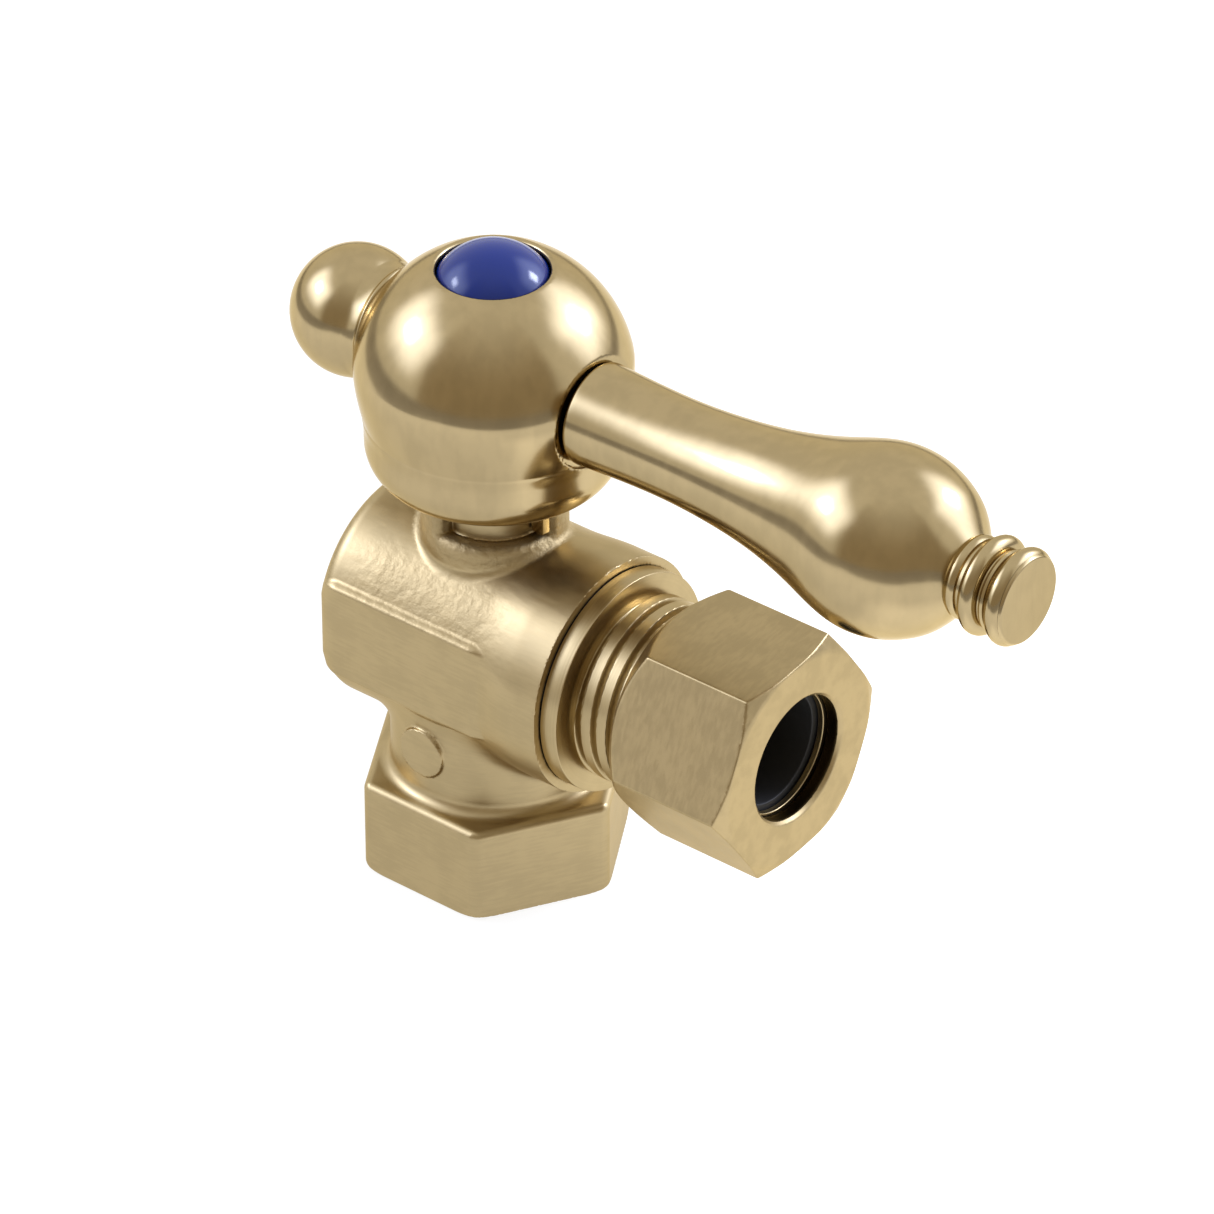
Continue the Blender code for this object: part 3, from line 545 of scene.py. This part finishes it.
def boss_outside(x, y, z):
    """The stem boss on top of the barrel, cut back where the handle's tab sweeps."""
    r = np.hypot(x, y)
    boss = round_and(r - BOSS_R, slab(z, 35.0, BOSS_TOP_Z), 0.35)
    boss = without(boss, stop_cutaway(x, y, z), 1.1)
    neck = shaft(r, z, STEM_NECK_R, 40.0, BOSS_TOP_Z, 0.2)
    return round_or(boss, neck, 0.3)


def body_outside(x, y, z):
    body = round_or(barrel_outside(x, y, z), inlet_outside(x, y, z), 1.5)
    return round_or(body, boss_outside(x, y, z), 0.8)


def body_inside(x, y, z):
    """The inlet's threaded socket, the water path, the outlet's bores and the stem's pocket."""
    r = np.hypot(x, y)
    ring = np.hypot(y, z - BARREL_Z)
    tapped = PIPE_THREAD * ripple(z, np.arctan2(y, x), PIPE_PITCH)
    taper = PIPE_TAPER * np.clip(z, 0, PIPE_DEPTH)
    socket = round_and(r - PIPE_R + taper + 0.3 - tapped, slab(z, -3, PIPE_DEPTH), 0.2)
    made = np.minimum(socket, round_and(cone(r, z, 11.0, 0.0, -0.8), slab(z, -3, 3), 0.1))
    bores = [
        round_and(r - PORT_R, slab(z, 10.0, BARREL_Z), 0.2),
        round_and(ring - CHAMBER_R, slab(x, CHAMBER_BACK_X, 20), 0.3),
        round_and(ring - THREAD_BORE_R, slab(x, THREAD_BORE_X, 20), 0.2),
        round_and(ring - GASKET_SEAT_R, slab(x, GASKET_SEAT_X, 20), 0.1),
        round_and(r - PORT_R, slab(z, BARREL_Z, POCKET_TOP_Z), 0.2),
        round_and(r - STEM_BORE_R, slab(z, 40.0, 53.0), 0.1),
    ]
    for bore in bores:
        made = np.minimum(made, bore)
    return made


def body_shape(x, y, z):
    return without(body_outside(x, y, z), body_inside(x, y, z), 0.2)


def mark(piece, name, amount):
    """Stores a value from 0 to 1 at each vertex, worked out from its place in millimetres."""
    at = np.zeros(len(piece.data.vertices) * 3)
    piece.data.vertices.foreach_get("co", at)
    layer = piece.data.attributes.new(name, "FLOAT", "POINT")
    layer.data.foreach_set("value", amount(*(at.reshape(-1, 3).T / MM)).astype(np.float32))


def rough_skin(x, y, z):
    """Where the forging keeps its rough skin: the boss's walls and the sides of the barrel."""
    r = np.hypot(x, y)
    boss = np.clip((z - 42.5) / 1.5, 0, 1) * np.clip((r - 6.3) / 0.4, 0, 1)
    boss *= np.clip((9.4 - r) / 0.6, 0, 1)
    seam = np.clip(1.6 - np.abs(z - BARREL_Z - 8.2) / 2.4, 0, 1)
    seam *= np.clip((13 - np.abs(x + 1)) / 6, 0, 1) * (y < 0)
    return np.clip(boss + 0.5 * seam, 0, 1)


def make_body():
    step = 0.3
    piece = carved("forged_body", body_shape, body_low, body_high, step)
    mark(piece, "skin", rough_skin)
    return dress(piece, "valve", "forged", "satin_brass", "valve_body")


def dress(piece, body, finish, slot, *nodes):
    piece.data.materials.append(materials[finish])
    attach(piece, body)
    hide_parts(*nodes)
    return piece


# ---------------------------------------------------------------- outlet


def adapter_thread(r, x, angle):
    """How far the thread rises above its root there; it fades in after the flange and out before the nose."""
    if abs(r - THREAD_ROOT_R) > 1e-6:
        return 0
    fade = min(1, max(0, (x - THREAD_START_X) / 0.5), max(0, (THREAD_END_X + 0.9 - x) / 1.2))
    return (THREAD_CREST_R - THREAD_ROOT_R) * fade * float(ripple(x, angle, THREAD_PITCH))


def make_adapter():
    back, front = adapter_low[0], adapter_high[0]
    step, count = 0.045, 300
    flange = [(SPIGOT_R, back), (SPIGOT_R, FLANGE_BACK_X), (FLANGE_R, FLANGE_BACK_X)]
    flange += [(FLANGE_R, FLANGE_FRONT_X), (THREAD_ROOT_R, FLANGE_FRONT_X)]
    threaded = [(THREAD_ROOT_R, FLANGE_FRONT_X + step * i) for i in range(1, count)]
    threaded = [p for p in threaded if p[1] < front - 1.1]
    nose = [(THREAD_ROOT_R - 0.75, front), (NOSE_R, front), (PORT_R, front - 2.4)]
    profile = fillet([(PORT_R, back), *flange], 0.1) + threaded + nose
    piece = spun("threaded_adapter", profile, "X", (0, 0, BARREL_Z), 288, True, adapter_thread)
    return dress(piece, "valve", "turned", "satin_brass", "outlet_adapter")


def nut_shape(x, y, z):
    height = z - BARREL_Z
    ring = np.hypot(y, height)
    bar = hexagon(y, height, NUT_FLATS, NUT_TWIST, 0.14)
    made = round_and(bar, slab(x, nut_low[0], nut_high[0]), 0.22)
    made = round_and(made, cone(ring, x, NUT_BACK_R, nut_low[0], 1.0), 0.15)
    made = round_and(made, cone(ring, x, NUT_FRONT_R, nut_high[0], -2.1), 0.15)
    tapped = NUT_THREAD * ripple(x, np.arctan2(height, y), THREAD_PITCH)
    tapped = tapped * (x < NUT_THREAD_END_X)
    bore = round_and(ring - NUT_BORE_R - tapped, slab(x, 20, nut_high[0] - NUT_LIP), 0.2)
    hole = ring - NUT_HOLE_R
    hole = np.minimum(hole, cone(ring, x, NUT_HOLE_R + 0.4, nut_high[0], 1.0))
    made = without(made, bore, 0.15)
    return without(made, round_and(hole, slab(x, 30, 50), 0.1), 0.12)


def bore_shade_mask(x, y, z):
    """Where shade is painted in the nut's hole: its wall, from just behind the front edge."""
    ring = np.hypot(y, z - BARREL_Z)
    return ease(-ring, -8.0, -7.75) * ease(-x, -nut_high[0] + 0.25, -nut_high[0] + 0.8)


def make_nut():
    step = 0.22
    piece = carved("union_nut", nut_shape, nut_low, nut_high, step)
    # The nut's hole wall gets painted shade.
    mark(piece, "bore", bore_shade_mask)
    return dress(piece, "nut", "nut", "satin_brass", "outlet_nut")


def flat_ring(name, inner, outer, back, front, edge):
    """A ring about the outlet's axis, with its edges eased."""
    corners = [(inner, back), (outer, back), (outer, front), (inner, front), (inner, back)]
    return spun(name, fillet(corners, edge)[:-1], "X", (0, 0, BARREL_Z), 128, True)


def make_washers():
    inner, outer = WASHER_BORE_R, washer_high[1]
    back, front = washer_low[0], washer_high[0]
    corners = [(inner, back), (WASHER_TIP_R, back), (outer, back + WASHER_TAPER)]
    corners += [(outer, front), (inner, front), (inner, back)]
    washer = spun("sealing_washer", fillet(corners, 0.2)[:-1], "X", (0, 0, BARREL_Z), 128, True)
    dress(washer, "nut_carrier", "rubber", "black_rubber", "outlet_washer")
    ring = flat_ring("slip_ring", RING_BORE_R, ring_high[1], ring_low[0], ring_high[0], 0.15)
    dress(ring, "nut_carrier", "turned", "satin_brass", "friction_ring")
    low, high = node_box("adapter_gasket")
    gasket = flat_ring("joint_gasket", GASKET_BORE_R, high[1], low[0], high[0], 0.2)
    dress(gasket, "valve", "rubber", "black_rubber", "adapter_gasket")


# ---------------------------------------------------------------- handle


def collar(r, z):
    """The hub's collar, upright above its middle and rounded in below."""
    stretch = (COLLAR_MID_Z - COLLAR_BOTTOM_Z) / COLLAR_BULGE
    drop = np.minimum(z - COLLAR_MID_Z, 0) / stretch
    out = np.maximum(r - COLLAR_MID_R, 0)
    bulge = np.hypot(out, drop) - COLLAR_BULGE
    return round_and(bulge, slab(z, COLLAR_BOTTOM_Z, COLLAR_TOP_Z + 1.0), 0.05)


def stop_tab(x, y, z):
    """The tab under the hub that stops the handle at both ends of its quarter turn."""
    r = np.hypot(x, y)
    sides = np.abs(np.sin(np.arctan2(y, x) - TAB_ANGLE)) * r - TAB_HALF_WIDTH
    tab = round_and(sides, slab(r, TAB_INNER_R, TAB_OUTER_R), 0.15)
    tab = round_and(tab, slab(z, TAB_LOW_Z, TAB_HIGH_Z), 0.15)
    return round_and(tab, -x, 0.1)


def hub_shape(x, y, z):
    r = np.hypot(x, y)
    ball = np.sqrt(r**2 + (z - HUB_Z) ** 2) - HUB_R
    slope = (HUB_R - COLLAR_TOP_R) / (WAIST_Z - COLLAR_TOP_Z)
    taper = cone(r, z, COLLAR_TOP_R, COLLAR_TOP_Z, slope)
    upper = round_and(round_and(ball, taper, 1.2), COLLAR_TOP_Z - 1.0 - z, 0.2)
    made = round_or(upper, collar(r, z), 0.5)
    made = round_or(made, stop_tab(x, y, z), 0.2)
    made = without(made, round_and(r - RECESS_R, BUTTON_SEAT_Z - z, 0.15), RECESS_RIM)
    made = without(made, round_and(r - POCKET_R, POCKET_FLOOR_Z - z, 0.2), 0.2)
    drive = round_and(np.maximum(np.abs(x), np.abs(y)) - DRIVE_HALF, slab(z, 48, DRIVE_TOP_Z), 0.1)
    screw_hole = round_and(r - SCREW_BORE_R, slab(z, 55, 72), 0.1)
    made = without(made, np.minimum(drive, screw_hole), 0.15)
    side = np.hypot(y, z - HANDLE_Z)
    lever_seat = round_and(side - LEVER_SEAT_R, LEVER_SEAT_X - x, 0.15)
    lever_seat = np.minimum(lever_seat, round_and(side - STUD_BORE_R, slab(x, STUD_BORE_END_X, 18), 0.1))
    knob_seat = round_and(side - KNOB_SEAT_R, x + KNOB_SEAT_X, 0.15)
    knob_seat = np.minimum(knob_seat, round_and(side - STUD_BORE_R, slab(x, -18, -STUD_BORE_END_X), 0.1))
    return without(made, np.minimum(lever_seat, knob_seat), 0.2)


def make_hub():
    step = 0.27
    piece = carved("ball_hub", hub_shape, hub_low, hub_high, step)
    return dress(piece, "handle", "polished", "polished_brass", "handle_hub")


def bead(middle, half, radius, depth, count=10):
    """The outline of a turned ring, half an ellipse that stands out by depth up to that radius."""
    angles = np.linspace(0, math.pi, count + 1)
    return [(radius - depth + depth * math.sin(a), middle - half * math.cos(a)) for a in angles]


def make_lever():
    root, tip = lever_low[0], lever_high[0]
    shank = [(LEVER_FOOT_R, 15.1), (5.84, 20), (5.74, 26), (6.12, 33), (7.1, 40), (8.95, 47)]
    bulb_at = (53.5, 56, 58.5, 61, 63, 64.6)
    bulb = [(BULB_R * math.sqrt(1 - ((x - BULB_X) / BULB_HALF) ** 2), x) for x in bulb_at]
    rings = [
        *bead(tip - 7.3, 0.7, 4.85, 0.45, 6),
        *bead(tip - 4.8, 1.15, 5.75, 1.3),
        *bead(tip - 3.1, 0.4, 4.75, 0.35, 4),
        *bead(tip - 1.3, 1.15, 5.65, 1.2)[:-1],
    ]
    end = fillet([(5.2, tip - 0.35), (5.0, tip), (0, tip)], 0.2)
    bore = [(0, 23.2), (STUD_BORE_R, 22.0), (STUD_BORE_R, root)]
    start = fillet([*bore, (5.7, root), (LEVER_FOOT_R, root + 0.35), (LEVER_FOOT_R, 15.1)], 0.15)
    profile = [*start[:-1], *smooth_curve([*shank, *bulb], 110), *rings, *end]
    piece = spun("teardrop_lever", profile, "X", (0, 0, HANDLE_Z), 192)
    return dress(piece, "handle", "polished", "polished_brass", "lever")


def make_knob():
    root, foot_r = KNOB_ROOT_X, KNOB_FOOT_R
    start = -math.degrees(math.acos(KNOB_NECK_R / KNOB_R))
    bore = [(0, 22.7), (STUD_BORE_R, 21.5), (STUD_BORE_R, root)]
    foot = [(foot_r - 0.3, root), (foot_r, root + 0.35), (foot_r - 0.3, root + 0.9)]
    ball = arc(0, KNOB_X, KNOB_R, start, 90, 60)
    profile = fillet([*bore, *foot, ball[0]], 0.15)[:-1] + ball[:-1] + [(0, KNOB_X + KNOB_R)]
    piece = spun("round_knob", profile, "-X", (0, 0, HANDLE_Z), 160)
    return dress(piece, "handle", "polished", "polished_brass", "ball_knob")


def make_button():
    rise = button_high[2] - BUTTON_EDGE_Z
    radius = (BUTTON_R**2 + rise**2) / (2 * rise)
    edge = math.degrees(math.acos(BUTTON_R / radius))
    plug = POCKET_R - 0.3
    seat = BUTTON_SEAT_Z
    low = button_low[2]
    under = [(0, seat - 0.2), (plug - 1.2, seat - 0.2), (plug - 1.2, low), (plug, low), (plug, seat + 0.3)]
    dome = arc(0, button_high[2] - radius, radius, edge, 90, 24)
    profile = fillet([*under, (BUTTON_R, seat + 0.3), *dome[:2]], 0.15) + dome[2:-1] + [(0, button_high[2])]
    piece = spun("blue_button", profile, "Z", (0, 0, 0), 128, sharp=40)
    return dress(piece, "button", "blue", "blue_plastic", "index_button")


def finish_cad_nodes():
    """The small pieces that stay as the CAD has them get their materials."""
    finishes = {"satin_brass": "turned", "polished_brass": "polished", "stainless_steel": "steel"}
    finishes |= {"black_rubber": "rubber", "white_ptfe": "ptfe", "blue_plastic": "blue"}
    for part in frame["record"]["subparts"]:
        mesh = frame["nodes"][part["node"]].data
        mesh.materials.clear()
        mesh.materials.append(materials[finishes[part["material_slot"]]])


# ---------------------------------------------------------------- studio

# Lengths are in metres from here on, and azimuths turn anticlockwise from the outlet's way.
AZIMUTH, ELEVATION = math.radians(38.8), math.radians(34.1)  # the camera's; its azimuth starts at -Y
AIM = Vector((15.0, 0.0, 40.0)) * MM
DISTANCE = 0.843
LENS, SENSOR, SHIFT = 222.4, 36.0, (0.0069, -0.0071)
BOARD_Z, FLOOR_Z, FLOOR_HALF = -0.0002, -0.004, 3.0
LAMP_DISTANCE, LAMP_AIM_Z, LAMP_COLOUR = 0.6, 0.06, (0.92, 1.0, 1.26)
LEFT_LAMP, RIGHT_LAMP = (211, 31), (60, 28)  # azimuth and elevation
LEFT_BOX, RIGHT_BOX = (211, 31), (61, 28)  # the same, of the cloths that the brass reflects
BOX_COLOUR = (3.0, 3.25, 4.1, 1)
PALE_WALL, DARK_WALL = (1.0, 0.98, 0.94, 1), (0.48, 0.40, 0.29, 1)


def direction(azimuth, elevation):
    """The unit vector at that azimuth and elevation, in degrees."""
    turn, lift = math.radians(azimuth), math.radians(elevation)
    return Vector((math.cos(turn) * math.cos(lift), math.sin(turn) * math.cos(lift), math.sin(lift)))


def towards_camera():
    level = math.cos(ELEVATION)
    return Vector((math.sin(AZIMUTH) * level, -math.cos(AZIMUTH) * level, math.sin(ELEVATION)))


def make_camera():
    data = bpy.data.cameras.new("camera")
    data.lens, data.sensor_width = LENS, SENSOR
    data.shift_x, data.shift_y = SHIFT
    data.clip_start, data.clip_end = 0.05, 20.0
    camera = bpy.data.objects.new("camera", data)
    camera.location = AIM + towards_camera() * DISTANCE
    camera.rotation_mode = "QUATERNION"
    camera.rotation_quaternion = (-towards_camera()).to_track_quat("-Z", "Y")
    bpy.context.scene.collection.objects.link(camera)
    bpy.context.scene.camera = camera


def plane(name, corners, height, colour, emission=0.0):
    """A flat stage piece with four corners and a matt material."""
    points = [(x, y, height) for x, y in corners]
    made = mesh_object(name, np.array(points) / MM, [[0, 1, 2, 3]])
    surface, _, shader = new_material(name, 0.9, 0.0)
    shader.inputs["Base Color"].default_value = (*colour, 1)
    shader.inputs["Specular IOR Level"].default_value = 0.0
    shader.inputs["Emission Color"].default_value = (1, 1, 1, 1)
    shader.inputs["Emission Strength"].default_value = emission
    made.data.materials.append(surface)
    return made


def make_floor():
    """A white light table under the valve, square to the camera, with painted shade near the valve and
    brighter on one side, on a grey floor.
    """
    right = Vector((math.cos(AZIMUTH), math.sin(AZIMUTH)))
    near = Vector((math.sin(AZIMUTH), -math.cos(AZIMUTH)))
    left_edge, right_edge, near_edge, far_edge = -0.25, 0.35, 0.26, -0.60
    corners = [
        right * left_edge + near * near_edge,
        right * right_edge + near * near_edge,
        right * right_edge + near * far_edge,
        right * left_edge + near * far_edge,
    ]
    board = plane("white_board", corners, BOARD_Z, (0.16, 0.16, 0.16), 1.0)
    tree = board.active_material.node_tree
    position = node(tree, "ShaderNodeTexCoord").outputs["Object"]
    away = node(tree, "ShaderNodeVectorMath", {0: position}, operation="LENGTH").outputs["Value"]
    # Painted shade: the board glows less close to the valve, as if the valve shaded it.
    emission = smooth_step(tree, away, 0.03, 0.20, 0.88, 1.08)
    lit_side = smooth_step(tree, dot(tree, position, direction(38, 0)), 0.0, 0.045, 0.0, 0.45)
    lit_side = math_node(tree, "MULTIPLY", lit_side, smooth_step(tree, away, 0.09, 0.14, 1.0, 0.0))
    emission = math_node(tree, "ADD", emission, lit_side)
    tree.links.new(emission, tree.nodes["Principled BSDF"].inputs["Emission Strength"])
    far = FLOOR_HALF
    plane("grey_floor", [(-far, -far), (far, -far), (far, far), (-far, far)], FLOOR_Z, (0.35, 0.33, 0.3))


def softbox(name, azimuth, elevation, size, radiance):
    """A rectangular light, seen from the valve at that azimuth and elevation."""
    data = bpy.data.lights.new(name, "AREA")
    data.shape = "RECTANGLE"
    data.size, data.size_y = size
    data.energy = radiance * math.pi * size[0] * size[1]
    data.color = LAMP_COLOUR
    lamp = bpy.data.objects.new(name, data)
    way = direction(azimuth, elevation)
    lamp.location = Vector((0.0, 0, LAMP_AIM_Z)) + way * LAMP_DISTANCE
    lamp.rotation_mode = "QUATERNION"
    lamp.rotation_quaternion = (-way).to_track_quat("-Z", "Y")
    bpy.context.scene.collection.objects.link(lamp)


def make_lights():
    softbox("left_softbox", *LEFT_LAMP, (0.14, 0.09), 13.0)
    softbox("right_softbox", *RIGHT_LAMP, (0.12, 0.14), 21.0)


def glow(tree, way, box, half_width, half_height, soft):
    """The soft-edged cloth of a softbox: 1 in its middle, 0 outside it. Sizes are tangents of angles."""
    centre = direction(*box)
    side = direction(box[0] + 90, 0)
    ahead = math_node(tree, "MAXIMUM", dot(tree, way, centre), 0.05)
    across = math_node(tree, "DIVIDE", dot(tree, way, side), ahead)
    across = math_node(tree, "ABSOLUTE", across)
    up = math_node(tree, "DIVIDE", dot(tree, way, centre.cross(side)), ahead)
    up = math_node(tree, "ABSOLUTE", up)
    wide = smooth_step(tree, across, half_width - soft, half_width + soft, 1.0, 0.0)
    high = smooth_step(tree, up, half_height - soft, half_height + soft, 1.0, 0.0)
    return math_node(tree, "MULTIPLY", wide, high)


def make_world():
    """A pale studio with the cloths of two lights, and one side of its walls darker."""
    world = bpy.data.worlds.new("studio")
    bpy.context.scene.world = world
    world.use_nodes = True
    tree = world.node_tree
    way = node(tree, "ShaderNodeTexCoord").outputs["Generated"]
    level = node(tree, "ShaderNodeVectorMath", {0: way, 1: (1, 1, 0)}, operation="MULTIPLY").outputs[0]
    level = node(tree, "ShaderNodeVectorMath", {0: level}, operation="NORMALIZE").outputs[0]
    dark = smooth_step(tree, dot(tree, level, direction(305, 0)), 0.42, 0.60)
    height = math_node(tree, "MAXIMUM", dot(tree, way, (0, 0, 1)), 0.0)
    fade = math_node(tree, "SUBTRACT", 1.0, math_node(tree, "POWER", height, 3.5))
    walls = blend(tree, math_node(tree, "MULTIPLY", dark, fade), PALE_WALL, DARK_WALL)
    left = glow(tree, way, LEFT_BOX, 0.44, 0.29, 0.19)
    right = glow(tree, way, RIGHT_BOX, 0.42, 0.37, 0.20)
    lit = blend(tree, math_node(tree, "ADD", left, right), walls, BOX_COLOUR)
    tree.links.new(lit, tree.nodes["Background"].inputs["Color"])
    bpy.context.scene.view_settings.view_transform = "Standard"


make_body()
make_adapter()
make_nut()
make_washers()
make_hub()
make_lever()
make_knob()
make_button()
finish_cad_nodes()
make_floor()
make_lights()
make_world()
make_camera()
